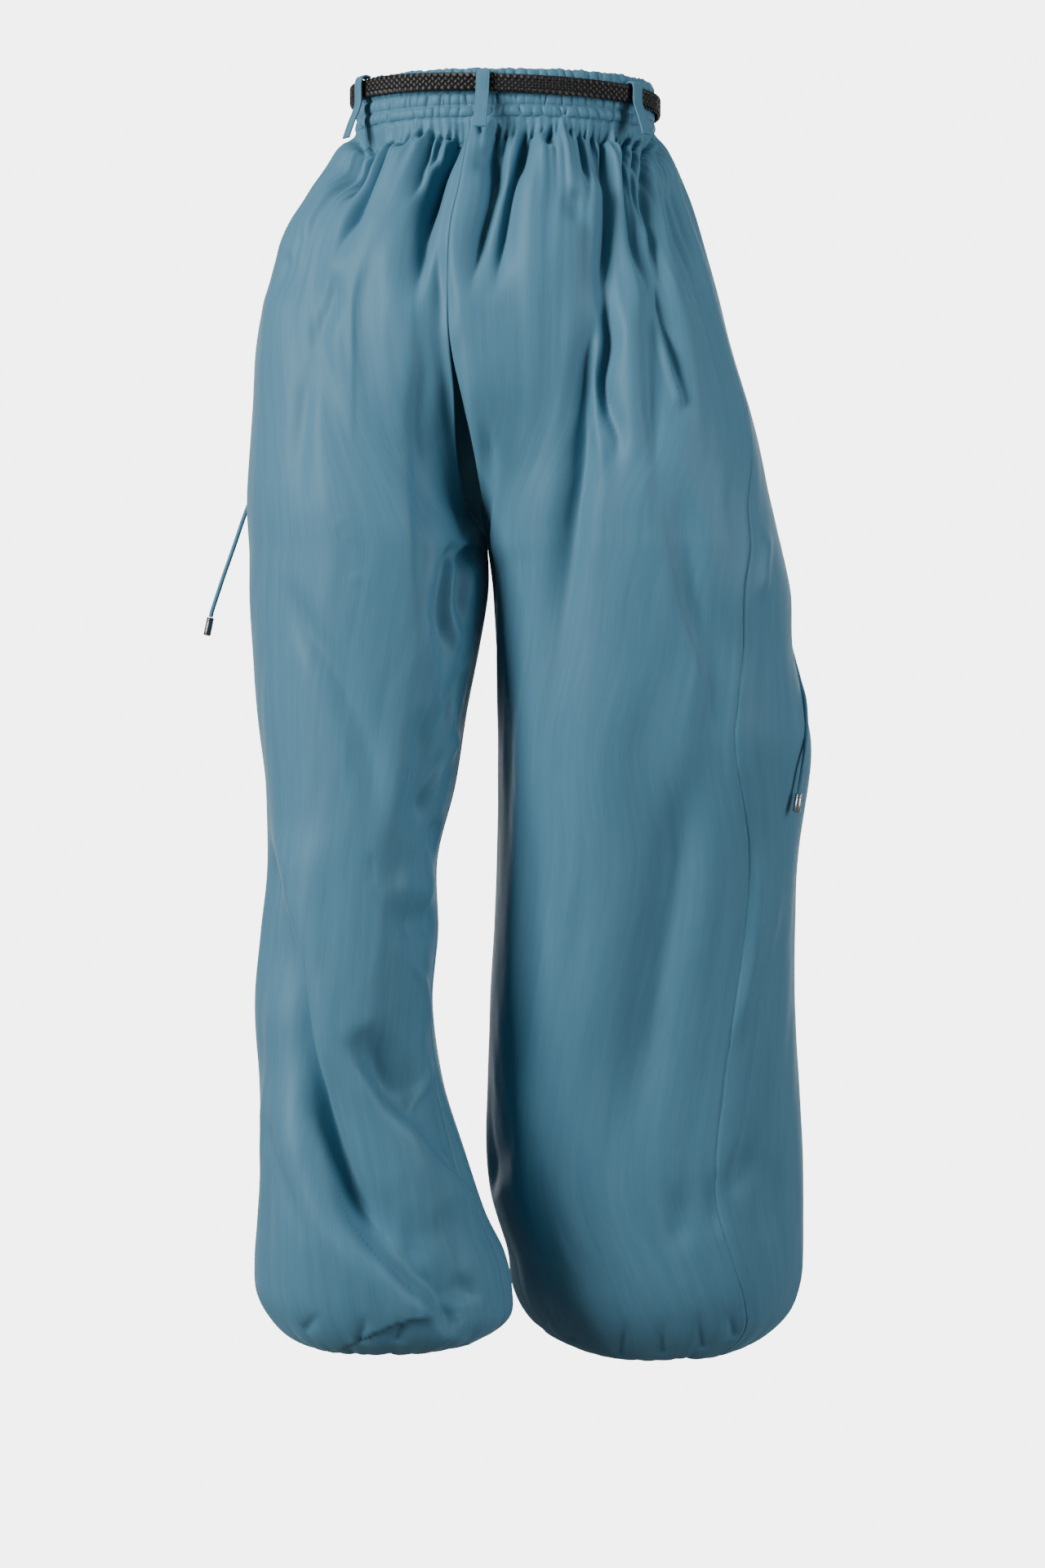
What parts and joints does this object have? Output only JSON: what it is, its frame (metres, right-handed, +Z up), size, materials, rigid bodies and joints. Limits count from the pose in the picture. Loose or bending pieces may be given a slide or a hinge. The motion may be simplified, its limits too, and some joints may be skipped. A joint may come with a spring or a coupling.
{
  "type": "elastic-waist pants",
  "caption": "Very full satin trousers as worn, with a shirred elastic waist, a braided leather belt, a drawstring and balloon legs gathered at the ankle.",
  "frame": {"origin": "the middle of the waistband's ring, where the wearer's waist holds the garment", "axes": "+Z up, +Y the way the wearer faces, +X the wearer's right"},
  "size_m": [0.5, 0.3904, 1.0465],
  "materials": {
    "satin": "dusty teal satin, soft sheen",
    "shirred_band": "the same satin shirred over elastic",
    "satin_cord": "turned satin tube",
    "braided_leather": "black braid, glossy on its strands",
    "metal": "bright, lightly worn"
  },
  "bodies": {
    "root": {"back_left": "satin", "back_right": "satin", "front_left": "satin", "front_right": "satin", "pocket_left": "satin", "pocket_right": "satin", "casing_left": "satin", "casing_right": "satin", "waistband": "shirred_band", "belt_strap": "braided_leather", "buckle_frame": "metal", "buckle_prong": "metal", "loop_back_right": "satin", "loop_back_centre": "satin", "loop_side_left": "satin", "loop_front_left": "satin", "loop_front_right": "satin", "eyelet_left": "metal", "eyelet_right": "metal", "drawstring_left": "satin_cord", "drawstring_right": "satin_cord", "cord_end_left": "metal", "cord_end_right": "metal"}
  },
  "joints": []
}
